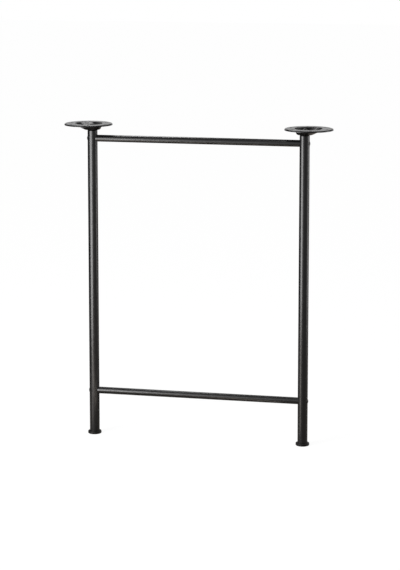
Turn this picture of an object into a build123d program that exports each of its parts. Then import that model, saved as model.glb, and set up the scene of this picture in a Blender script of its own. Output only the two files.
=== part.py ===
"""Desk leg: two round posts joined by two rails, with mounting plates on top and glides below.

Millimetres. The origin is on the floor midway between the posts, +X runs along the rails, +Z is up.
Local X of every post plane points outward, so the two sides are the same pieces turned half a turn.
"""

import os
from math import cos, radians, tan

from build123d import *

# Frame
leg_height = 700.0  # floor to the top face of the mounting plates
post_spacing = 472.0  # between the post axes
upper_rail_drop = 32.5  # top face of the plates to the upper rail axis
lower_rail_height = 99.0  # floor to the lower rail axis

# Tubes
post_diameter = 22.0
post_wall = 1.5
rail_diameter = 15.0
rail_wall = 1.2

# Mounting plates: a flat flange with a turned-down lip and an off-centre pressed dish
sheet_thickness = 2.0
plate_diameter = 106.0
plate_offset = 9.0  # plate centre, outward from the post axis
lip_height = 3.2
lip_bend_radius = 0.6  # bend radii are inside the bend
dish_depth = 13.5  # top face of the flange to the underside of the dish floor
dish_mouth_diameter = 62.0  # about the plate centre
dish_floor_diameter = 34.0  # about the post axis, measured underneath
mouth_bend_radius = 1.5
floor_bend_radius = 2.0
screw_count = 6
screw_circle_diameter = 86.0
screw_hole_diameter = 5.5
screw_countersink_diameter = 8.5
screw_pattern_turn = -17.0  # degrees from the outward direction

# Stud plugs in the post tops, with the washers and nuts that clamp the plates
stud_diameter = 8.0
stud_tip_drop = 0.8  # top face of the plates to the stud tip
stud_tip_chamfer = 1.2
plug_length = 28.0
plug_chamfer = 1.0
collar_height = 4.0
collar_round_radius = 3.0
washer_diameter = 16.0
washer_thickness = 1.6
washer_chamfer = 0.3
nut_wall = 2.4  # bore to the flats
nut_hex_height = 6.0
nut_crown_wall = 1.8  # the nuts end in a plain turned crown above the hexagon
nut_crown_height = 2.0
nut_crown_round = 0.9
nut_bore_chamfer = 0.5

# Foot glides
foot_diameter = 30.0
foot_height = 6.0
foot_top_radius = 2.0
foot_sole_chamfer = 0.8
spigot_length = 20.0
spigot_wall = 2.2
barb_count = 3
barb_pitch = 5.0
barb_height = 0.8
barb_land = 1.0  # plain length between barbs

# Rail bolts, through the posts into inserts in the rail ends
bolt_diameter = 6.0
bolt_head_diameter = 11.5
bolt_head_sink = 0.6  # crest of the post to the rim of the head
bolt_dome_height = 1.8
bolt_tip_chamfer = 0.8
socket_across_flats = 4.0
socket_depth = 2.6
insert_length = 18.0
insert_setback = 1.0  # post surface to the end of the insert
insert_chamfer = 0.6
thread_engagement = 14.0

# Clearances, on the radius
press_clearance = 0.05
seat_clearance = 0.05
thread_clearance = 0.1
bolt_hole_clearance = 0.3
stud_hole_clearance = 0.4

# Sizes that follow from those above
post_radius = post_diameter / 2
post_bore_radius = post_radius - post_wall
rail_radius = rail_diameter / 2
rail_bore_radius = rail_radius - rail_wall
plate_radius = plate_diameter / 2
mouth_radius = dish_mouth_diameter / 2
floor_radius = dish_floor_diameter / 2
stud_radius = stud_diameter / 2
foot_radius = foot_diameter / 2
bolt_radius = bolt_diameter / 2
bolt_head_radius = bolt_head_diameter / 2
bolt_rim = post_radius - bolt_head_sink  # post axis to the rim of a bolt head
bolt_crest = bolt_rim + bolt_dome_height  # post axis to the top of its dome
insert_start = post_radius + insert_setback
under_flange = leg_height - sheet_thickness
dish_root_radius = mouth_radius + sheet_thickness / 2
dish_floor_level = leg_height - dish_depth
dish_inner_level = dish_floor_level + sheet_thickness
post_top = dish_floor_level - collar_height
plug_radius = post_bore_radius - press_clearance
stud_tip = leg_height - stud_tip_drop
washer_top = dish_inner_level + washer_thickness
nut_bore_radius = stud_radius + thread_clearance
nut_flat_radius = nut_bore_radius + nut_wall
nut_corner_radius = nut_flat_radius / cos(radians(30))
nut_corner_drop = (nut_corner_radius - nut_flat_radius) * tan(radians(30))
nut_crown_radius = nut_bore_radius + nut_crown_wall
nut_shoulder = washer_top + nut_hex_height
nut_top = nut_shoulder + nut_crown_height
spigot_radius = post_bore_radius - press_clearance  # over the barbs
insert_radius = rail_bore_radius - press_clearance
bolt_tip = insert_start + thread_engagement  # post axis to the end of a bolt

sides = {"left": -1, "right": 1}
rail_levels = {"upper": leg_height - upper_rail_drop, "lower": lower_rail_height}


def level_plane(side, height):
    """Horizontal plane on a post axis, local X outward."""
    return Plane(origin=(side * post_spacing / 2, 0, height), x_dir=(side, 0, 0), z_dir=(0, 0, 1))


def turning_plane(side):
    """Upright plane through a post axis: local X is the radius, local Y the height."""
    return Plane(origin=(side * post_spacing / 2, 0, 0), x_dir=(side, 0, 0), z_dir=(0, -side, 0))


def post_axis(side):
    return Axis((side * post_spacing / 2, 0, 0), (0, 0, 1))


def bolt_plane(side, height):
    """Upright plane through a bolt axis: local X runs inward from the post axis, local Y is the radius."""
    return Plane(origin=(side * post_spacing / 2, 0, height), x_dir=(-side, 0, 0), z_dir=(0, side, 0))


def bolt_axis(side, height):
    return Axis((side * post_spacing / 2, 0, height), (-side, 0, 0))


def bolt_hole(side, height):
    """Cut a countersunk hole for a rail bolt right through whatever stands on a post axis."""
    with Locations(Plane(origin=(side * (post_spacing / 2 + bolt_rim), 0, height), z_dir=(side, 0, 0))):
        CounterSinkHole(
            radius=bolt_radius + bolt_hole_clearance,
            counter_sink_radius=bolt_head_radius + seat_clearance,
            depth=post_diameter,
            counter_sink_angle=90,
        )


def circles(piece, radius, height):
    """Horizontal circular edges of a piece with this radius at this height."""
    rings = piece.edges().filter_by(GeomType.CIRCLE)
    return [e for e in rings if abs(e.radius - radius) < 0.01 and abs(e.arc_center.Z - height) < 0.01]


def save(piece, label):
    piece.part.label = label
    export_step(piece.part, f"parts/{label}.step")


os.makedirs("parts", exist_ok=True)

# Posts: tubes with a countersunk hole outside and a clearance hole inside at each rail
for name, side in sides.items():
    with BuildPart() as post:
        with BuildSketch(level_plane(side, foot_height)):
            Circle(post_radius)
            Circle(post_bore_radius, mode=Mode.SUBTRACT)
        extrude(amount=post_top - foot_height)
        for height in rail_levels.values():
            bolt_hole(side, height)
    save(post, f"{name}_post")

# Rails: tubes coped at both ends to sit against the posts
for name, height in rail_levels.items():
    with BuildPart() as rail:
        with BuildSketch(Plane.YZ.offset(-post_spacing / 2)):
            with Locations((0, height)):
                Circle(rail_radius)
                Circle(rail_bore_radius, mode=Mode.SUBTRACT)
        extrude(amount=post_spacing)
        for side in sides.values():
            with BuildSketch(level_plane(side, height - rail_diameter)):
                Circle(post_radius + seat_clearance)
            extrude(amount=2 * rail_diameter, mode=Mode.SUBTRACT)
    save(rail, f"{name}_rail")

# Mounting plates
for name, side in sides.items():
    with BuildPart() as plate:
        # Flange and lip, turned about the plate centre
        with BuildSketch(turning_plane(side)):
            with BuildLine():
                Polyline(
                    (plate_offset, leg_height),
                    (plate_offset + plate_radius, leg_height),
                    (plate_offset + plate_radius, leg_height - lip_height),
                    (plate_offset + plate_radius - sheet_thickness, leg_height - lip_height),
                    (plate_offset + plate_radius - sheet_thickness, under_flange),
                    (plate_offset, under_flange),
                    close=True,
                )
            make_face()
        revolve(axis=Axis((side * (post_spacing / 2 + plate_offset), 0, 0), (0, 0, 1)))
        fillet(circles(plate, plate_radius, leg_height), radius=lip_bend_radius + sheet_thickness)
        fillet(circles(plate, plate_radius - sheet_thickness, under_flange), radius=lip_bend_radius)

        # Dish: a slanting cone from the mouth, about the plate centre, to the floor, about the post axis
        with BuildSketch(level_plane(side, under_flange)):
            with Locations((plate_offset, 0)):
                Circle(dish_root_radius)
        with BuildSketch(level_plane(side, dish_floor_level)):
            Circle(floor_radius)
        loft()
        with BuildSketch(level_plane(side, leg_height)):
            with Locations((plate_offset, 0)):
                Circle(mouth_radius)
        with BuildSketch(level_plane(side, dish_inner_level)):
            Circle(floor_radius - sheet_thickness)
        loft(mode=Mode.SUBTRACT)
        fillet(circles(plate, mouth_radius, leg_height), radius=mouth_bend_radius + sheet_thickness)
        fillet(circles(plate, dish_root_radius, under_flange), radius=mouth_bend_radius)
        fillet(circles(plate, floor_radius, dish_floor_level), radius=floor_bend_radius + sheet_thickness)
        fillet(circles(plate, floor_radius - sheet_thickness, dish_inner_level), radius=floor_bend_radius)

        # Screw holes countersunk from underneath, and the stud hole
        underside = Plane(
            origin=(side * (post_spacing / 2 + plate_offset), 0, under_flange),
            x_dir=(side, 0, 0),
            z_dir=(0, 0, -1),
        )
        with Locations(underside):
            with PolarLocations(screw_circle_diameter / 2, screw_count, start_angle=-screw_pattern_turn):
                CounterSinkHole(
                    radius=screw_hole_diameter / 2,
                    counter_sink_radius=screw_countersink_diameter / 2,
                    depth=2 * sheet_thickness,
                    counter_sink_angle=90,
                )
        with BuildSketch(level_plane(side, dish_floor_level)):
            Circle(stud_radius + stud_hole_clearance)
        extrude(amount=sheet_thickness, mode=Mode.SUBTRACT)
    save(plate, f"{name}_mounting_plate")

# Stud plugs: a plug in the post, pinned by the upper bolt, a rounded collar and a stud up through the dish
for name, side in sides.items():
    with BuildPart() as stud:
        with BuildSketch(turning_plane(side)):
            with BuildLine():
                Polyline(
                    (0, post_top - plug_length),
                    (plug_radius - plug_chamfer, post_top - plug_length),
                    (plug_radius, post_top - plug_length + plug_chamfer),
                    (plug_radius, post_top),
                    (post_radius, post_top),
                    (post_radius, dish_floor_level),
                    (stud_radius, dish_floor_level),
                    (stud_radius, stud_tip - stud_tip_chamfer),
                    (stud_radius - stud_tip_chamfer, stud_tip),
                    (0, stud_tip),
                    close=True,
                )
            make_face()
        revolve(axis=post_axis(side))
        fillet(circles(stud, post_radius, dish_floor_level), radius=collar_round_radius)
        bolt_hole(side, rail_levels["upper"])
    save(stud, f"{name}_stud_plug")

# Washers and lock nuts inside the dishes
for name, side in sides.items():
    with BuildPart() as washer:
        with BuildSketch(level_plane(side, dish_inner_level)):
            Circle(washer_diameter / 2)
            Circle(stud_radius + stud_hole_clearance, mode=Mode.SUBTRACT)
        extrude(amount=washer_thickness)
        chamfer(circles(washer, washer_diameter / 2, washer_top), length=washer_chamfer)
    save(washer, f"{name}_plate_washer")

    with BuildPart() as nut:
        with BuildSketch(level_plane(side, washer_top)):
            RegularPolygon(nut_flat_radius, 6, major_radius=False)
        extrude(amount=nut_hex_height)
        # Corners turned off at thirty degrees, top and bottom
        with BuildSketch(turning_plane(side)):
            with BuildLine():
                Polyline(
                    (0, washer_top),
                    (nut_flat_radius, washer_top),
                    (nut_corner_radius, washer_top + nut_corner_drop),
                    (nut_corner_radius, nut_shoulder - nut_corner_drop),
                    (nut_flat_radius, nut_shoulder),
                    (0, nut_shoulder),
                    close=True,
                )
            make_face()
        revolve(axis=post_axis(side), mode=Mode.INTERSECT)
        with BuildSketch(level_plane(side, nut_shoulder)):
            Circle(nut_crown_radius)
        extrude(amount=nut_crown_height)
        fillet(circles(nut, nut_crown_radius, nut_top), radius=nut_crown_round)
        with BuildSketch(level_plane(side, washer_top)):
            Circle(nut_bore_radius)
        extrude(amount=nut_hex_height + nut_crown_height, mode=Mode.SUBTRACT)
        for height in (washer_top, nut_top):
            chamfer(circles(nut, nut_bore_radius, height), length=nut_bore_chamfer)
    save(nut, f"{name}_plate_nut")

# Foot glides: a disc under the post with a hollow barbed spigot inside it
for name, side in sides.items():
    barbs = []
    for i in range(barb_count):
        start = foot_height + spigot_length - barb_pitch * (barb_count - i)
        barbs += [
            (spigot_radius - barb_height, start),
            (spigot_radius, start),
            (spigot_radius - barb_height, start + barb_pitch - barb_land),
        ]
    with BuildPart() as foot:
        with BuildSketch(turning_plane(side)):
            with BuildLine():
                Polyline(
                    (0, 0),
                    (foot_radius - foot_sole_chamfer, 0),
                    (foot_radius, foot_sole_chamfer),
                    (foot_radius, foot_height),
                    (spigot_radius - barb_height, foot_height),
                    *barbs,
                    (spigot_radius - barb_height, foot_height + spigot_length),
                    (spigot_radius - barb_height - spigot_wall, foot_height + spigot_length),
                    (spigot_radius - barb_height - spigot_wall, foot_height),
                    (0, foot_height),
                    close=True,
                )
            make_face()
        revolve(axis=post_axis(side))
        fillet(circles(foot, foot_radius, foot_height), radius=foot_top_radius)
    save(foot, f"{name}_foot_glide")

# Rail inserts and bolts, one of each at every rail end
for level, height in rail_levels.items():
    for name, side in sides.items():
        with BuildPart() as insert:
            with BuildSketch(bolt_plane(side, height)):
                with BuildLine():
                    Polyline(
                        (insert_start, bolt_radius + thread_clearance + insert_chamfer),
                        (insert_start, insert_radius - insert_chamfer),
                        (insert_start + insert_chamfer, insert_radius),
                        (insert_start + insert_length - insert_chamfer, insert_radius),
                        (insert_start + insert_length, insert_radius - insert_chamfer),
                        (insert_start + insert_length, bolt_radius + thread_clearance),
                        (insert_start + insert_chamfer, bolt_radius + thread_clearance),
                        close=True,
                    )
                make_face()
            revolve(axis=bolt_axis(side, height))
        save(insert, f"{level}_{name}_rail_insert")

        with BuildPart() as bolt:
            with BuildSketch(bolt_plane(side, height)):
                with BuildLine():
                    TangentArc((-bolt_crest, 0), (-bolt_rim, bolt_head_radius), tangent=(0, 1))
                    Polyline(
                        (-bolt_rim, bolt_head_radius),
                        (-bolt_rim + bolt_head_radius - bolt_radius, bolt_radius),
                        (bolt_tip - bolt_tip_chamfer, bolt_radius),
                        (bolt_tip, bolt_radius - bolt_tip_chamfer),
                        (bolt_tip, 0),
                        (-bolt_crest, 0),
                    )
                make_face()
            revolve(axis=bolt_axis(side, height))
            crest = side * (post_spacing / 2 + bolt_crest)
            with BuildSketch(Plane(origin=(crest, 0, height), z_dir=(side, 0, 0))):
                RegularPolygon(socket_across_flats / 2, 6, major_radius=False)
            extrude(amount=-socket_depth, mode=Mode.SUBTRACT)
        save(bolt, f"{level}_{name}_rail_bolt")
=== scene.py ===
# %% [markdown]
# # A black tubular desk leg
# The leg is a flat-pack steel frame: two round posts, two thinner rails bolted between them, a pressed
# plate on each post top and a plastic glide under each foot. The solids come in already built and
# placed, so this lesson is about their looks: black satin paint, blackened fasteners, moulded plastic,
# and a bright, plain studio.

# %% Load the frame
import math

import bmesh
import bpy
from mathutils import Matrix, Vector


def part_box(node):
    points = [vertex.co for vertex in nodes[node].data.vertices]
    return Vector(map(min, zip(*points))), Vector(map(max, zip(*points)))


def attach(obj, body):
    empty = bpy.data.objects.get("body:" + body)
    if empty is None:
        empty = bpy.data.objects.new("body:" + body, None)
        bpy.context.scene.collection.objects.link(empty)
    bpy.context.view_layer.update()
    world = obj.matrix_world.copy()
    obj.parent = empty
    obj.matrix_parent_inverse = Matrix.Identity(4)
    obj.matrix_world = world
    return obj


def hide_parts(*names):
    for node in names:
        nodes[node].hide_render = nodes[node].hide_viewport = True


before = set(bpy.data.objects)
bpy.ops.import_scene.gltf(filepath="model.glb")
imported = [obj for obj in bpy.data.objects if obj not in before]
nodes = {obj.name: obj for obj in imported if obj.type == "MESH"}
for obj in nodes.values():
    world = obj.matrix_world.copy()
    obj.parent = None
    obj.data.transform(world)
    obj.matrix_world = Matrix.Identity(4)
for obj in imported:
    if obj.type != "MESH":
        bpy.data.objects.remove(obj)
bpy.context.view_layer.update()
scene = bpy.context.scene

# %% [markdown]
# ## Where things stand
# Every pattern on the leg turns about an axis: the upright axis of a post, or the level axis of a rail.
# They could be typed in as numbers, but then a change to the solids would leave them behind, so they
# are read from the boxes of the pieces themselves. A round made of flat facets has a box that is a few
# thousandths of a millimetre off its axis, so the readings are rounded to a tenth of a millimetre.

# %% Read the axes
SIDES = ("left", "right")
LEVELS = ("upper", "lower")
DECIMALS = 4


def middle(node):
    low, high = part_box(node)
    return (low + high) / 2


post_axes = {side: round(middle(f"{side}_post").x, DECIMALS) for side in SIDES}
plate_axes = {side: round(middle(f"{side}_mounting_plate").x, DECIMALS) for side in SIDES}
rail_heights = {level: round(middle(f"{level}_rail").z, DECIMALS) for level in LEVELS}
print("post axes at x", post_axes)
print("plate centres at x", plate_axes)
print("rail axes at z", rail_heights)

# %% [markdown]
# ## Building node trees in a script
# A material is a tree of nodes. In the editor each node is dropped, set and wired by hand, and a script
# does the same three things. One helper does them together: it adds a node, sets its options, and for
# each input either stores a value or draws a link from another node's output. A second one is for sums,
# which are the commonest nodes here, and a third starts a group, with its sockets.

# %% Helpers that add, set and wire nodes
def add(tree, kind, inputs=None, **options):
    node = tree.nodes.new(kind)
    for name, value in options.items():
        setattr(node, name, value)
    for name, value in (inputs or {}).items():
        if isinstance(value, bpy.types.NodeSocket):
            tree.links.new(value, node.inputs[name])
        else:
            node.inputs[name].default_value = value
    return node


def calculate(tree, operation, *terms):
    """The result of one Math node, whose terms are numbers or other nodes' outputs."""
    return add(tree, "ShaderNodeMath", dict(enumerate(terms)), operation=operation).outputs[0]


def shader_group(name, inputs, output):
    """A new shader group: inputs are {name: (kind, value)} and the output is the name of a value."""
    group = bpy.data.node_groups.new(name, "ShaderNodeTree")
    for socket_name, (kind, value) in inputs.items():
        socket = group.interface.new_socket(socket_name, in_out="INPUT", socket_type=kind)
        if value is not None:
            socket.default_value = value
    group.interface.new_socket(output, in_out="OUTPUT", socket_type="NodeSocketFloat")
    return group, group.nodes.new("NodeGroupInput").outputs, group.nodes.new("NodeGroupOutput")


print("node helpers ready")

# %% [markdown]
# ## Drift: nothing is perfectly even
# Baked paint, blackened steel and moulded plastic all vary a little from place to place, in tone and in
# gloss, over a few centimetres. A painted texture could hold that, but a soft noise needs no unwrapping
# and has no edges. It seldom leaves the middle of its range, so that middle is stretched to the full
# range. Every finish below uses the drift, so it is a group, placed in each with its own size.

# %% The drift group
DRIFT_DETAIL = 3.0
DRIFT_RAGGEDNESS = 0.55
NOISE_LOW, NOISE_HIGH = 0.3, 0.7


def sized_noise(group, place, size, detail, raggedness=0.5):
    """Noise with swells that are about one size across."""
    scale = calculate(group, "DIVIDE", 1.0, size)
    inputs = {"Vector": place, "Scale": scale, "Detail": detail, "Roughness": raggedness}
    return add(group, "ShaderNodeTexNoise", inputs).outputs[0]


drift_group, drift_in, drift_out = shader_group(
    "surface_drift",
    {"Vector": ("NodeSocketVector", None), "Size": ("NodeSocketFloat", 0.03)},
    "Drift",
)
drift_noise = sized_noise(
    drift_group, drift_in["Vector"], drift_in["Size"], DRIFT_DETAIL, DRIFT_RAGGEDNESS
)
drift_level = add(
    drift_group,
    "ShaderNodeMapRange",
    {"Value": drift_noise, "From Min": NOISE_LOW, "From Max": NOISE_HIGH},
)
drift_group.links.new(drift_level.outputs["Result"], drift_out.inputs["Drift"])
print("made", drift_group.name)

# %% [markdown]
# ## Peel: the skin of sprayed and baked powder
# Powder melts into a film that is smooth but never flat: it dries in shallow swells a millimetre or so
# across, with a much finer tooth on top. On a tube that is what breaks up the edge of a highlight. The
# swells are far too small to model, so the group puts out a height, and a Bump node tilts the surface.

# %% The peel group
PEEL_DETAIL = 1.0

peel_group, peel_in, peel_out = shader_group(
    "paint_peel",
    {
        "Vector": ("NodeSocketVector", None),
        "Swell Size": ("NodeSocketFloat", 0.0016),
        "Tooth Size": ("NodeSocketFloat", 0.00025),
        "Tooth Share": ("NodeSocketFloat", 0.12),
    },
    "Height",
)
swells = sized_noise(peel_group, peel_in["Vector"], peel_in["Swell Size"], PEEL_DETAIL)
tooth = sized_noise(peel_group, peel_in["Vector"], peel_in["Tooth Size"], PEEL_DETAIL)
peel_mix = add(peel_group, "ShaderNodeMix", {"Factor": peel_in["Tooth Share"], "A": swells, "B": tooth})
peel_group.links.new(peel_mix.outputs["Result"], peel_out.inputs["Height"])
print("made", peel_group.name)

# %% [markdown]
# ## Rings: the mark of turning and pressing
# A lathe leaves fine rings on a nut, a washer or a bolt head, and a press leaves faint rings round the
# dish of a plate. Both are the same effect at two sizes: a wave that depends only on the distance from
# an axis, mixed with a noise that does too, because no tool cuts evenly. A Mapping node in the material
# moves that axis to the origin.

# %% The ring group
WANDER_SCALE = 1.3
WANDER_DETAIL = 2.0

ring_group, ring_in, ring_out = shader_group(
    "turned_rings",
    {
        "Vector": ("NodeSocketVector", None),
        "Pitch": ("NodeSocketFloat", 0.0004),
        "Wander": ("NodeSocketFloat", 0.5),
    },
    "Height",
)
flatten = {0: ring_in["Vector"], 1: (1, 1, 0)}
flat = add(ring_group, "ShaderNodeVectorMath", flatten, operation="MULTIPLY")
from_axis = add(ring_group, "ShaderNodeVectorMath", {0: flat.outputs["Vector"]}, operation="LENGTH")
turns = calculate(ring_group, "DIVIDE", from_axis.outputs["Value"], ring_in["Pitch"])
wander = add(
    ring_group,
    "ShaderNodeTexNoise",
    {"W": turns, "Scale": WANDER_SCALE, "Detail": WANDER_DETAIL},
    noise_dimensions="1D",
)
wave = calculate(ring_group, "SINE", calculate(ring_group, "MULTIPLY", turns, math.tau))
wave_height = calculate(ring_group, "MULTIPLY_ADD", wave, 0.5, 0.5)
ring_mix = add(
    ring_group,
    "ShaderNodeMix",
    {"Factor": ring_in["Wander"], "A": wave_height, "B": wander.outputs[0]},
)
ring_group.links.new(ring_mix.outputs["Result"], ring_out.inputs["Height"])
print("made", ring_group.name)

# %% [markdown]
# ## Starting a finish
# All finishes begin alike: a Principled shader, the place on the object, and the drift that moves tone
# and gloss between two ends. Object coordinates are used because the pieces sit at the origin, so the
# pattern keeps its real size and stays put when the piece is exported.

# %% A helper that starts a material
def start_finish(name, tones, roughness, drift_size):
    """A material whose colour and whose roughness each drift between two ends."""
    material = bpy.data.materials.new(name)
    material.use_nodes = True
    tree = material.node_tree
    shader = tree.nodes["Principled BSDF"]
    place = add(tree, "ShaderNodeTexCoord").outputs["Object"]
    drift = add(tree, "ShaderNodeGroup", {"Vector": place, "Size": drift_size}, node_tree=drift_group)
    tone = add(tree, "ShaderNodeValToRGB", {"Fac": drift.outputs["Drift"]})
    for stop, colour in zip(tone.color_ramp.elements, tones):
        stop.color = (*colour, 1)
    smooth, rough = roughness
    gloss = add(
        tree,
        "ShaderNodeMapRange",
        {"Value": drift.outputs["Drift"], "To Min": smooth, "To Max": rough},
    )
    tree.links.new(tone.outputs["Color"], shader.inputs["Base Color"])
    tree.links.new(gloss.outputs["Result"], shader.inputs["Roughness"])
    return material, tree, shader, place


print("a finish can be started")

# %% Helpers for relief and for dressing the pieces
clothed = set()


def add_bump(tree, shader, height, distance, below=None):
    """Tilt the surface by a height, on top of an earlier bump if there is one."""
    inputs = {"Height": height, "Distance": distance, "Strength": 1.0}
    if below is not None:
        inputs["Normal"] = below
    normal = add(tree, "ShaderNodeBump", inputs).outputs["Normal"]
    tree.links.new(normal, shader.inputs["Normal"])
    return normal


def clothe(material, *names):
    """Put one finish on the named pieces of the frame."""
    for name in names:
        nodes[name].data.materials.clear()
        nodes[name].data.materials.append(material)
    clothed.update(names)
    print(material.name, "on", len(names), "pieces")


print("relief and dressing ready")

# %% [markdown]
# ## Black satin paint on the tubes
# Posts and rails are cut, drilled, hung on a line and powder coated. The film is a plain black, so
# nearly all that shows is what it mirrors. Its own grey is kept close to nothing. It has two glosses,
# one over the other: a fairly sharp, faint one that draws the streaks, and a wide haze from its fine
# tooth that spreads them. One roughness can't do both, so the haze is the shader's coat, thin and much
# rougher. The stud plugs are pressed into the posts before they are painted, so their collars wear it
# too.

# %% The tube paint
PAINT_TONES = ((0.0045, 0.0045, 0.0048), (0.0085, 0.0085, 0.0088))
PAINT_SHEEN = 0.17
TUBE_HAZE = 0.26
HAZE_SPREAD = 0.42
TUBE_ROUGHNESS = (0.17, 0.23)
TUBE_DRIFT = 0.028
PEEL_DEPTH = 0.00004


def set_satin(shader, haze):
    """Give a shader the two glosses of the paint."""
    shader.inputs["Specular IOR Level"].default_value = PAINT_SHEEN
    shader.inputs["Coat Weight"].default_value = haze
    shader.inputs["Coat Roughness"].default_value = HAZE_SPREAD


tube_paint, tree, shader, place = start_finish("tube_paint", PAINT_TONES, TUBE_ROUGHNESS, TUBE_DRIFT)
set_satin(shader, TUBE_HAZE)
peel = add(tree, "ShaderNodeGroup", {"Vector": place}, node_tree=peel_group)
add_bump(tree, shader, peel.outputs["Height"], PEEL_DEPTH)
clothe(tube_paint, "left_post", "right_post", "upper_rail", "lower_rail")
clothe(tube_paint, "left_stud_plug", "right_stud_plug")

# %% [markdown]
# ## The same paint on the pressed plates
# The plates wear the same coat, but a press has been at the steel underneath. It ironed the sheet flat,
# so the film is a little sharper and less hazy. Round the dish the sheet is drawn, and faint rings show
# through. The rings need each plate's own centre, so a function makes the paint once for each side.

# %% The plate paint
PLATE_HAZE = 0.10
PLATE_ROUGHNESS = (0.15, 0.22)
PLATE_DRIFT = 0.022
PRESS_RING_PITCH = 0.0042
PRESS_RING_DEPTH = 0.00002


def plate_paint(side):
    name = f"{side}_plate_paint"
    material, tree, shader, place = start_finish(name, PAINT_TONES, PLATE_ROUGHNESS, PLATE_DRIFT)
    set_satin(shader, PLATE_HAZE)
    centred = add(tree, "ShaderNodeMapping", {"Vector": place, "Location": (-plate_axes[side], 0, 0)})
    ring_inputs = {"Vector": centred.outputs["Vector"], "Pitch": PRESS_RING_PITCH}
    rings = add(tree, "ShaderNodeGroup", ring_inputs, node_tree=ring_group)
    peel = add(tree, "ShaderNodeGroup", {"Vector": place}, node_tree=peel_group)
    pressed = add_bump(tree, shader, rings.outputs["Height"], PRESS_RING_DEPTH)
    add_bump(tree, shader, peel.outputs["Height"], PEEL_DEPTH, pressed)
    return material


for side in SIDES:
    clothe(plate_paint(side), f"{side}_mounting_plate")

# %% [markdown]
# ## Blackened steel on the fasteners
# Nuts, washers and bolts are turned or rolled, then blackened in a bath: dark metal, duller than
# paint, with the tool's rings still showing. Metal mirrors in its own colour, so the shader is metallic
# with a dark brown-black base. The rings turn about each fastener's own axis, so the function is told
# where that axis is: the upright line at some x, or a place that the piece carries as an attribute.

# %% The blackened steel
STEEL_TONES = ((0.020, 0.019, 0.018), (0.050, 0.048, 0.045))
STEEL_ROUGHNESS = (0.22, 0.34)
STEEL_DRIFT = 0.006
TOOL_RING_PITCH = 0.00035
TOOL_RING_DEPTH = 0.000006


def blackened_steel(name, axis_x=None, attribute=""):
    """Blackened steel, turned about the upright axis at axis_x or about a stored place."""
    material, tree, shader, place = start_finish(name, STEEL_TONES, STEEL_ROUGHNESS, STEEL_DRIFT)
    shader.inputs["Metallic"].default_value = 1.0
    if attribute:
        turned = add(tree, "ShaderNodeAttribute", attribute_name=attribute)
    else:
        turned = add(tree, "ShaderNodeMapping", {"Vector": place, "Location": (-axis_x, 0, 0)})
    ring_inputs = {"Vector": turned.outputs["Vector"], "Pitch": TOOL_RING_PITCH}
    rings = add(tree, "ShaderNodeGroup", ring_inputs, node_tree=ring_group)
    add_bump(tree, shader, rings.outputs["Height"], TOOL_RING_DEPTH)
    return material


for side, x in post_axes.items():
    steel = blackened_steel(f"{side}_blackened_steel", axis_x=x)
    clothe(steel, f"{side}_plate_nut", f"{side}_plate_washer")

# %% [markdown]
# ## A bolt blank
# Each rail end is pulled up by a bolt with a domed, countersunk head and a hexagon socket. The solids
# have it with a plain shank. Here it gets its thread, in two steps, as in a screw works: first a blank
# is turned, then the thread is rolled into it. A blank is a stack of rings joined by quads, which
# plain mesh code does well. It stands upright on the post's axis, head up, and every size that its box
# can give is read from there.

# %% Sizes of the blank
SHANK_RADIUS = 0.0030
HEAD_SINK = 0.0006
DOME_HEIGHT = 0.0018
TIP_CHAMFER = 0.0008
SOCKET_FLAT = 0.0020
SOCKET_DEPTH = 0.0026
THREAD_PITCH = 0.0010
ROWS_PER_PITCH = 8
POINTS_ROUND = 48
DOME_RINGS = 8


def mm(metres):
    return round(metres * 1000, 2)


low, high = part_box("upper_right_rail_bolt")
head_radius = (high.y - low.y) / 2
tip = low.x - post_axes["right"]
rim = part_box("right_post")[1].x - post_axes["right"] - HEAD_SINK
crest = rim + DOME_HEIGHT
neck = rim - (head_radius - SHANK_RADIUS)
ball_radius = (head_radius**2 + DOME_HEIGHT**2) / (2 * DOME_HEIGHT)
socket_floor = crest - SOCKET_DEPTH
print("bolt from", mm(tip), "to", mm(crest), "mm, neck at", mm(neck), "mm")


# %% Rules for the rings
def socket_reach(angle):
    """From the axis to the side of the hexagonal socket in this direction."""
    sixth = math.pi / 3
    return SOCKET_FLAT / math.cos(angle % sixth - sixth / 2)


def on_dome(reach):
    """Height of the dome at this distance from the axis."""
    return crest - ball_radius + math.sqrt(ball_radius**2 - reach**2)


def blank_rings():
    """Rings from the socket floor over the head and down to the tip, each a list of points."""
    angles = [math.tau * i / POINTS_ROUND for i in range(POINTS_ROUND)]

    def ring(reach, height):
        return [(reach(a) * math.cos(a), reach(a) * math.sin(a), height(reach(a))) for a in angles]

    yield ring(socket_reach, lambda reach: socket_floor)
    for step in range(DOME_RINGS + 1):
        share = step / DOME_RINGS
        yield ring(lambda a: socket_reach(a) + share * (head_radius - socket_reach(a)), on_dome)
    shank_end = tip + TIP_CHAMFER
    rows = round((neck - shank_end) / THREAD_PITCH * ROWS_PER_PITCH)
    for row in range(rows + 1):
        yield ring(lambda a: SHANK_RADIUS, lambda reach: neck + (shank_end - neck) * row / rows)
    chamfer_rows = ROWS_PER_PITCH // 2
    for row in range(1, chamfer_rows + 1):
        drop = TIP_CHAMFER * row / chamfer_rows
        yield ring(lambda a: SHANK_RADIUS - drop, lambda reach: shank_end - drop)


print("socket is", mm(2 * SOCKET_FLAT), "mm across flats, on a ball of radius", mm(ball_radius), "mm")

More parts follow.
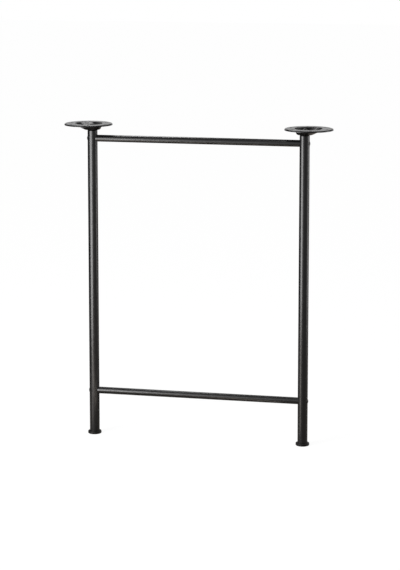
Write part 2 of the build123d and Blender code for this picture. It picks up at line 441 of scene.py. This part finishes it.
# %% Turn the blank
blank_mesh = bmesh.new()
stack = [[blank_mesh.verts.new(point) for point in ring] for ring in blank_rings()]
for above, below in zip(stack, stack[1:]):
    for i in range(POINTS_ROUND):
        j = (i + 1) % POINTS_ROUND
        blank_mesh.faces.new((above[i], below[i], below[j], above[j]))
for ring, height in ((stack[0], socket_floor), (stack[-1], tip)):
    pole = blank_mesh.verts.new((0, 0, height))
    for i in range(POINTS_ROUND):
        blank_mesh.faces.new((ring[i], ring[(i + 1) % POINTS_ROUND], pole))
bmesh.ops.recalc_face_normals(blank_mesh, faces=blank_mesh.faces)
blank_data = bpy.data.meshes.new("bolt_blank")
blank_mesh.to_mesh(blank_data)
blank_mesh.free()
blank = bpy.data.objects.new("bolt_blank", blank_data)
scene.collection.objects.link(blank)
print("blank has", len(stack), "rings and", len(blank_data.polygons), "faces")

# %% [markdown]
# ## Rolling the thread and setting out the bolts
# A thread is a rule: go round once, move along by one pitch. So a node tree can roll it. For each point
# of the shank it works out how far round and how far along the point is, and a back-and-forth wave of
# their difference gives the depth of the groove. The blank could then be copied four times by hand, but
# the bolts sit on a two by two grid, posts across and rails up, so the tree sets one on each corner of
# a grid and turns it to face outward. The last two nodes make the copies real and give them a finish.

# %% Start the bolt tree
THREAD_DEPTH = 0.0006
RUN_OUT = 2 * THREAD_PITCH

bolt_tree = bpy.data.node_groups.new("roll_and_set_bolts", "GeometryNodeTree")
bolt_tree.interface.new_socket("Geometry", in_out="INPUT", socket_type="NodeSocketGeometry")
bolt_tree.interface.new_socket("Geometry", in_out="OUTPUT", socket_type="NodeSocketGeometry")
bolt_sizes = {
    "Pitch": THREAD_PITCH,
    "Depth": THREAD_DEPTH,
    "Shank Radius": SHANK_RADIUS,
    "Neck": neck,
    "Run Out": RUN_OUT,
    "Post Spacing": post_axes["right"] - post_axes["left"],
    "Rail Gap": rail_heights["upper"] - rail_heights["lower"],
    "Middle Height": (rail_heights["upper"] + rail_heights["lower"]) / 2,
}
identifiers = {}
for name in bolt_sizes:
    socket = bolt_tree.interface.new_socket(name, in_out="INPUT", socket_type="NodeSocketFloat")
    identifiers[name] = socket.identifier
socket = bolt_tree.interface.new_socket("Finish", in_out="INPUT", socket_type="NodeSocketMaterial")
identifiers["Finish"] = socket.identifier
size = bolt_tree.nodes.new("NodeGroupInput").outputs
result = bolt_tree.nodes.new("NodeGroupOutput")
print("bolt tree takes", list(identifiers))


# %% Work out the thread
def work_out(operation, *terms):
    """One Math node in the bolt tree."""
    return calculate(bolt_tree, operation, *terms)


where = add(bolt_tree, "GeometryNodeInputPosition").outputs["Position"]
along = add(bolt_tree, "ShaderNodeSeparateXYZ", {"Vector": where}).outputs
squares = work_out("ADD", work_out("POWER", along[0], 2), work_out("POWER", along[1], 2))
radius = work_out("SQRT", squares)
round_turns = work_out("DIVIDE", work_out("ARCTAN2", along[1], along[0]), math.tau)
long_turns = work_out("DIVIDE", along[2], size["Pitch"])
half_wave = work_out("PINGPONG", work_out("SUBTRACT", long_turns, round_turns), 0.5)
groove = work_out("MULTIPLY", half_wave, 2)
below_neck = work_out("SUBTRACT", size["Neck"], along[2])
fade = work_out("MINIMUM", work_out("DIVIDE", below_neck, size["Run Out"]), 1.0)
depth = work_out("MULTIPLY", work_out("MULTIPLY", groove, fade), size["Depth"])
rolled = work_out("MINIMUM", radius, work_out("SUBTRACT", size["Shank Radius"], depth))
shrink = work_out("DIVIDE", rolled, radius)
print("thread of pitch", mm(THREAD_PITCH), "mm worked out in", len(bolt_tree.nodes), "nodes")

# %% Roll the thread
moved = add(
    bolt_tree,
    "ShaderNodeCombineXYZ",
    {
        "X": work_out("MULTIPLY", along[0], shrink),
        "Y": work_out("MULTIPLY", along[1], shrink),
        "Z": along[2],
    },
)
kept = add(
    bolt_tree,
    "GeometryNodeStoreNamedAttribute",
    {"Geometry": size["Geometry"], "Name": "turned", "Value": where},
    data_type="FLOAT_VECTOR",
    domain="POINT",
)
threaded = add(
    bolt_tree,
    "GeometryNodeSetPosition",
    {
        "Geometry": kept.outputs["Geometry"],
        "Selection": work_out("GREATER_THAN", below_neck, 0.0),
        "Position": moved.outputs["Vector"],
    },
)
print("thread", mm(THREAD_DEPTH), "mm deep rolled")

# %% Set out the four bolts
QUARTER_TURN = math.radians(90)

grid = add(
    bolt_tree,
    "GeometryNodeMeshGrid",
    {"Size X": size["Post Spacing"], "Size Y": size["Rail Gap"], "Vertices X": 2, "Vertices Y": 2},
)
raised = add(bolt_tree, "ShaderNodeCombineXYZ", {"Z": size["Middle Height"]})
seats = add(
    bolt_tree,
    "GeometryNodeTransform",
    {
        "Geometry": grid.outputs["Mesh"],
        "Translation": raised.outputs["Vector"],
        "Rotation": (QUARTER_TURN, 0, 0),
    },
)
outward = work_out("MULTIPLY", work_out("SIGN", along[0]), QUARTER_TURN)
turn = add(bolt_tree, "ShaderNodeCombineXYZ", {"Y": outward})
facing = add(bolt_tree, "FunctionNodeEulerToRotation", {"Euler": turn.outputs["Vector"]})
copies = add(
    bolt_tree,
    "GeometryNodeInstanceOnPoints",
    {
        "Points": seats.outputs["Geometry"],
        "Instance": threaded.outputs["Geometry"],
        "Rotation": facing.outputs["Rotation"],
    },
)
real = add(bolt_tree, "GeometryNodeRealizeInstances", {"Geometry": copies.outputs["Instances"]})
dressed = add(
    bolt_tree,
    "GeometryNodeSetMaterial",
    {"Geometry": real.outputs["Geometry"], "Material": size["Finish"]},
)
bolt_tree.links.new(dressed.outputs["Geometry"], result.inputs["Geometry"])
print("bolt tree has", len(bolt_tree.nodes), "nodes")

# %% Make the bolts a plain mesh
SHARP_ANGLE = math.radians(34)

bolt_steel = blackened_steel("bolt_blackened_steel", attribute="turned")
roller = blank.modifiers.new("roll_and_set", "NODES")
roller.node_group = bolt_tree
for name, value in bolt_sizes.items():
    roller[identifiers[name]] = value
roller[identifiers["Finish"]] = bolt_steel
evaluated = blank.evaluated_get(bpy.context.evaluated_depsgraph_get())
bolt_mesh = bpy.data.meshes.new_from_object(evaluated)
blank.modifiers.clear()
bpy.data.objects.remove(blank)
bolt_mesh.name = "rail_bolts"
bolt_mesh.shade_smooth()
bolt_mesh.set_sharp_from_angle(angle=SHARP_ANGLE)
print("rail bolts have", len(bolt_mesh.polygons), "faces")

# %% Put the bolts in place of the solid ones
rail_bolts = bpy.data.objects.new("rail_bolts", bolt_mesh)
scene.collection.objects.link(rail_bolts)
bolt_names = [f"{level}_{side}_rail_bolt" for level in LEVELS for side in SIDES]
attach(rail_bolts, "root")
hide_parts(*bolt_names)
print("rail bolts stand for", bolt_names)

# %% [markdown]
# ## Moulded plastic on the glides
# The glides are injection moulded in black. A mould for a foot is lightly spark eroded, which gives the
# plastic a fine matt grain and hides scuffs. It is a rougher, flatter black than the paint, so the glide
# stands apart from the tube above it. Erosion pits are round, so a cellular texture makes the grain.

# %% The glide plastic
GLIDE_TONES = ((0.0038, 0.0032, 0.0027), (0.0064, 0.0055, 0.0047))
GLIDE_ROUGHNESS = (0.46, 0.58)
GLIDE_DRIFT = 0.012
GLIDE_SHEEN = 0.15
PIT_SIZE = 0.00045
PIT_DEPTH = 0.000018

glide_plastic, tree, shader, place = start_finish(
    "glide_plastic", GLIDE_TONES, GLIDE_ROUGHNESS, GLIDE_DRIFT
)
shader.inputs["Specular IOR Level"].default_value = GLIDE_SHEEN
pit_inputs = {"Vector": place, "Scale": 1 / PIT_SIZE}
pits = add(tree, "ShaderNodeTexVoronoi", pit_inputs, feature="SMOOTH_F1")
add_bump(tree, shader, pits.outputs["Distance"], PIT_DEPTH)
clothe(glide_plastic, "left_foot_glide", "right_foot_glide")

# %% [markdown]
# ## Zinc on the hidden inserts
# Inside each rail end is a threaded insert, plated with bright zinc. It only shows if the leg is taken
# apart, but it has its finish all the same: pale metal with the blotchy grain of plating.

# %% The zinc
ZINC_TONES = ((0.42, 0.43, 0.45), (0.62, 0.63, 0.66))
ZINC_ROUGHNESS = (0.22, 0.42)
ZINC_DRIFT = 0.004

zinc, tree, shader, place = start_finish("bright_zinc", ZINC_TONES, ZINC_ROUGHNESS, ZINC_DRIFT)
shader.inputs["Metallic"].default_value = 1.0
clothe(zinc, *[name for name in nodes if name.endswith("rail_insert")])
print("pieces without a finish:", sorted(set(nodes) - clothed - set(bolt_names)))

# %% [markdown]
# ## The floor
# The leg stands on a white sweep that fills the picture. A floor lit bright enough to look pure white
# would need lamps that burn out everything on it, so the white comes from the floor itself: to the
# camera, and in reflections, it glows at full white. A share of plain matt white is left in it, and that
# share is what still catches the soft shadow where the glides meet the floor.

# %% Make the floor
FLOOR_SIZE = 30.0
FLOOR_GLOW = 0.88
FLOOR_MATT = 0.22


def seen_rays(tree):
    """One where a ray comes from the camera, a reflection or a transparent piece, and zero elsewhere."""
    rays = add(tree, "ShaderNodeLightPath").outputs
    seen = calculate(tree, "MAXIMUM", rays["Is Camera Ray"], rays["Is Glossy Ray"])
    return calculate(tree, "MAXIMUM", seen, rays["Is Transmission Ray"])


bpy.ops.mesh.primitive_plane_add(size=FLOOR_SIZE)
floor = bpy.context.object
floor.name = "floor"
white_floor = bpy.data.materials.new("white_floor")
white_floor.use_nodes = True
tree = white_floor.node_tree
tree.nodes.clear()
strength = calculate(tree, "MULTIPLY", seen_rays(tree), FLOOR_GLOW)
glow = add(tree, "ShaderNodeEmission", {"Strength": strength})
matt = add(tree, "ShaderNodeBsdfDiffuse", {"Color": (FLOOR_MATT, FLOOR_MATT, FLOOR_MATT, 1)})
both = add(tree, "ShaderNodeAddShader", {0: glow.outputs[0], 1: matt.outputs[0]})
add(tree, "ShaderNodeOutputMaterial", {"Surface": both.outputs[0]})
floor.data.materials.append(white_floor)
print("floor", FLOOR_SIZE, "m across")

# %% [markdown]
# ## The room
# Behind the floor there is only the world. To the camera and to reflections it is white, like the floor.
# For the light that falls on the object it is dimmer, so the lamps can give the tubes their form.

# %% Make the world
ROOM_LIGHT = 0.5

world = bpy.data.worlds.new("studio")
world.use_nodes = True
scene.world = world
tree = world.node_tree
tree.nodes.clear()
level_inputs = {"Value": seen_rays(tree), "To Min": ROOM_LIGHT, "To Max": 1.0}
light_level = add(tree, "ShaderNodeMapRange", level_inputs)
sky_inputs = {"Color": (1, 1, 1, 1), "Strength": light_level.outputs["Result"]}
sky = add(tree, "ShaderNodeBackground", sky_inputs)
add(tree, "ShaderNodeOutputWorld", {"Surface": sky.outputs[0]})
print("room light", ROOM_LIGHT)

# %% [markdown]
# ## The lamps
# One soft key lamp and the room give the plain light. Black satin hardly shows that: it shows the lamps
# themselves, drawn out into streaks along the tubes. So each streak has a lamp of its own, placed where
# the tube or the dish would mirror it to the camera. A tall one at the left front draws the long bright
# line down both posts, one at the front fills the rails, one at the right edges the posts, and two hang
# over the plates. Streak lamps are kept out of the plain light, so they brighten nothing but gloss.

# %% Make the lamps
def facing_to(place, target):
    """The turn that makes something at place look at target."""
    return (Vector(target) - Vector(place)).to_track_quat("-Z", "Y").to_euler()


def softbox(name, at, to, width, height, watts, plain=False):
    """An oblong lamp that only gloss can see, unless it is part of the plain light."""
    lamp = bpy.data.lights.new(name, "AREA")
    lamp.shape = "RECTANGLE"
    lamp.size = width
    lamp.size_y = height
    lamp.energy = watts
    holder = bpy.data.objects.new(name, lamp)
    scene.collection.objects.link(holder)
    holder.location = at
    holder.rotation_euler = facing_to(at, to)
    holder.visible_camera = False
    holder.visible_diffuse = plain
    print(name, "lamp of", watts, "W")


TALL_LAMP = (-0.72, -0.88, 0.38)
softbox("key", at=(-1.1, -1.3, 1.3), to=(0, 0, 0.35), width=0.8, height=0.8, watts=14, plain=True)
softbox("left_streak", at=TALL_LAMP, to=(0, 0, 0.38), width=0.78, height=0.74, watts=29)
softbox("front_streak", at=(-0.32, -1.2, 0.36), to=(0, 0, 0.36), width=0.45, height=0.62, watts=2.3)
softbox("right_streak", at=(1.30, 0.30, 0.62), to=(0, 0, 0.62), width=0.50, height=1.2, watts=9)
softbox("dish_streak", at=(-0.38, 0.50, 1.6), to=(-0.49, 0.18, 0.7), width=0.20, height=0.62, watts=5.2)
softbox("nut_streak", at=(0.12, -0.42, 1.6), to=(0.2, 0, 0.7), width=0.2, height=0.2, watts=1.2)

# %% [markdown]
# ## Cards out of shot
# In an all-white room a glossy black tube turns grey, because every side of it mirrors white. A studio
# answers with cards that stand just out of the picture: dark ones give the tube its black, and a pale
# one behind gives the flat rims of the plates their even sheen. Here they are planes with a plain glow
# that only reflections can see. They throw no shadow and light nothing.

# %% Stand the cards
def only_in_gloss(plane, tone, tint=(1, 1, 1)):
    """Give a plane a plain glow that nothing but reflections can see."""
    plane.visible_camera = False
    plane.visible_diffuse = False
    plane.visible_shadow = False
    paint = bpy.data.materials.new(plane.name)
    paint.use_nodes = True
    paint.node_tree.nodes.clear()
    glow = add(paint.node_tree, "ShaderNodeEmission", {"Color": (*tint, 1), "Strength": tone})
    add(paint.node_tree, "ShaderNodeOutputMaterial", {"Surface": glow.outputs[0]})
    plane.data.materials.append(paint)
    print(plane.name, "of tone", tone)


def card(name, at, to, width, height, tone):
    """A card that stands at one place and faces another."""
    bpy.ops.mesh.primitive_plane_add(size=1)
    plane = bpy.context.object
    plane.name = name
    plane.scale = (width, height, 1)
    plane.location = at
    plane.rotation_euler = facing_to(at, to)
    only_in_gloss(plane, tone)


card("left_card", at=(-0.95, 0.20, 0.5), to=(0, 0, 0.5), width=1.3, height=1.0, tone=0.05)
card("right_card", at=(0.65, -0.75, 0.5), to=(0, 0, 0.5), width=0.7, height=1.0, tone=0.5)
card("top_card", at=(0.0, -0.25, 1.75), to=(0, 0, 0.4), width=1.8, height=1.3, tone=0.06)
card("back_card", at=(-0.1, 1.25, 1.40), to=(0, 0, 0.7), width=2.4, height=0.7, tone=0.05)
card("low_back_card", at=(-0.1, 1.30, 0.75), to=(0, 0, 0.7), width=2.4, height=0.5, tone=0.76)

# %% [markdown]
# ## Cards on the floor
# Low on the posts the mirrored view runs down to the floor. A real floor is brightest near the lamp
# that lights it, but this one glows evenly, so the feet would mirror an even grey and lose their form.
# So a dull card covers it, a darker one behind keeps the left edges of the posts black, and a bright
# wedge runs from each foot to the foot of the tall lamp, which carries the streak on down to the glide.
# Each is a single face, laid out by its corners, and slightly warm, as the feet in the picture are. Like
# the other cards, these show only in reflections.

# %% Helpers for floor cards
CARD_LIFT = 0.001
FLOOR_WARMTH = (1.11, 1.0, 0.89)
WEDGE_START = 0.10


def floor_card(name, outline, layer, tone):
    """A flat card with these corners, on one of the layers just above the floor."""
    mesh = bpy.data.meshes.new(name)
    mesh.from_pydata([(x, y, layer * CARD_LIFT) for x, y in outline], [], [range(len(outline))])
    plane = bpy.data.objects.new(name, mesh)
    scene.collection.objects.link(plane)
    only_in_gloss(plane, tone, FLOOR_WARMTH)


def wedge(side, spread, layer, tone):
    """A floor card that widens, by an angle to each side, from a post's foot to the tall lamp's."""
    foot = Vector((post_axes[side], 0))
    run = Vector(TALL_LAMP[:2]) - foot
    across = Vector((-run.y, run.x)) * math.tan(spread)
    near = WEDGE_START / run.length
    corners = ((near, -1), (1, -1), (1, 1), (near, 1))
    outline = [foot + far * (run + edge * across) for far, edge in corners]
    floor_card(f"{side}_wedge", outline, layer, tone)


print("floor cards lie", mm(CARD_LIFT), "mm apart")

# %% Lay the floor cards
LEFT_END, RIGHT_END, FRONT_END, BACK_END = -3.5, 3.5, -2.9, 4.1
DARK_START = (0.15, 0.1)
DARK_END = (-1.05, BACK_END)

whole = [(LEFT_END, FRONT_END), (RIGHT_END, FRONT_END), (RIGHT_END, BACK_END), (LEFT_END, BACK_END)]
left_behind = [(LEFT_END, DARK_START[1]), DARK_START, DARK_END, (LEFT_END, BACK_END)]
floor_card("dull_card", whole, layer=1, tone=0.4)
floor_card("dark_card", left_behind, layer=2, tone=0.06)
wedge("left", math.radians(5), layer=3, tone=4.5)
wedge("right", math.radians(6), layer=3, tone=6.0)

# %% [markdown]
# ## The camera
# The picture was taken with its verticals upright, from a little above the top of the leg. A camera that
# is tilted down makes posts lean together. A lens that is shifted down looks at the feet without that,
# as a view camera does, but the shift stays when the camera goes round to other sides, so it is modest
# here. A slight tilt and a long lens from further away do the rest: so far off, the posts hardly lean.

# %% Make the camera
IMAGE_HEIGHT = 570
FOCAL_PIXELS = 1900
SENSOR = 36.0
LENS_SHIFT = -0.2
FAR_CLIP = 60
CAMERA_PLACE = (0.86632, -4.0104, 1.17265)
LOOK_DOWN = math.radians(7.932)
LOOK_LEFT = math.radians(12.11)

camera = bpy.data.cameras.new("camera")
camera.sensor_width = SENSOR
camera.lens = FOCAL_PIXELS * SENSOR / IMAGE_HEIGHT
camera.shift_y = LENS_SHIFT
camera.clip_end = FAR_CLIP
viewer = bpy.data.objects.new("camera", camera)
scene.collection.objects.link(viewer)
viewer.location = CAMERA_PLACE
viewer.rotation_euler = (QUARTER_TURN - LOOK_DOWN, 0, LOOK_LEFT)
scene.camera = viewer
scene.view_settings.view_transform = "Standard"
print("camera lens", round(camera.lens, 1), "mm")
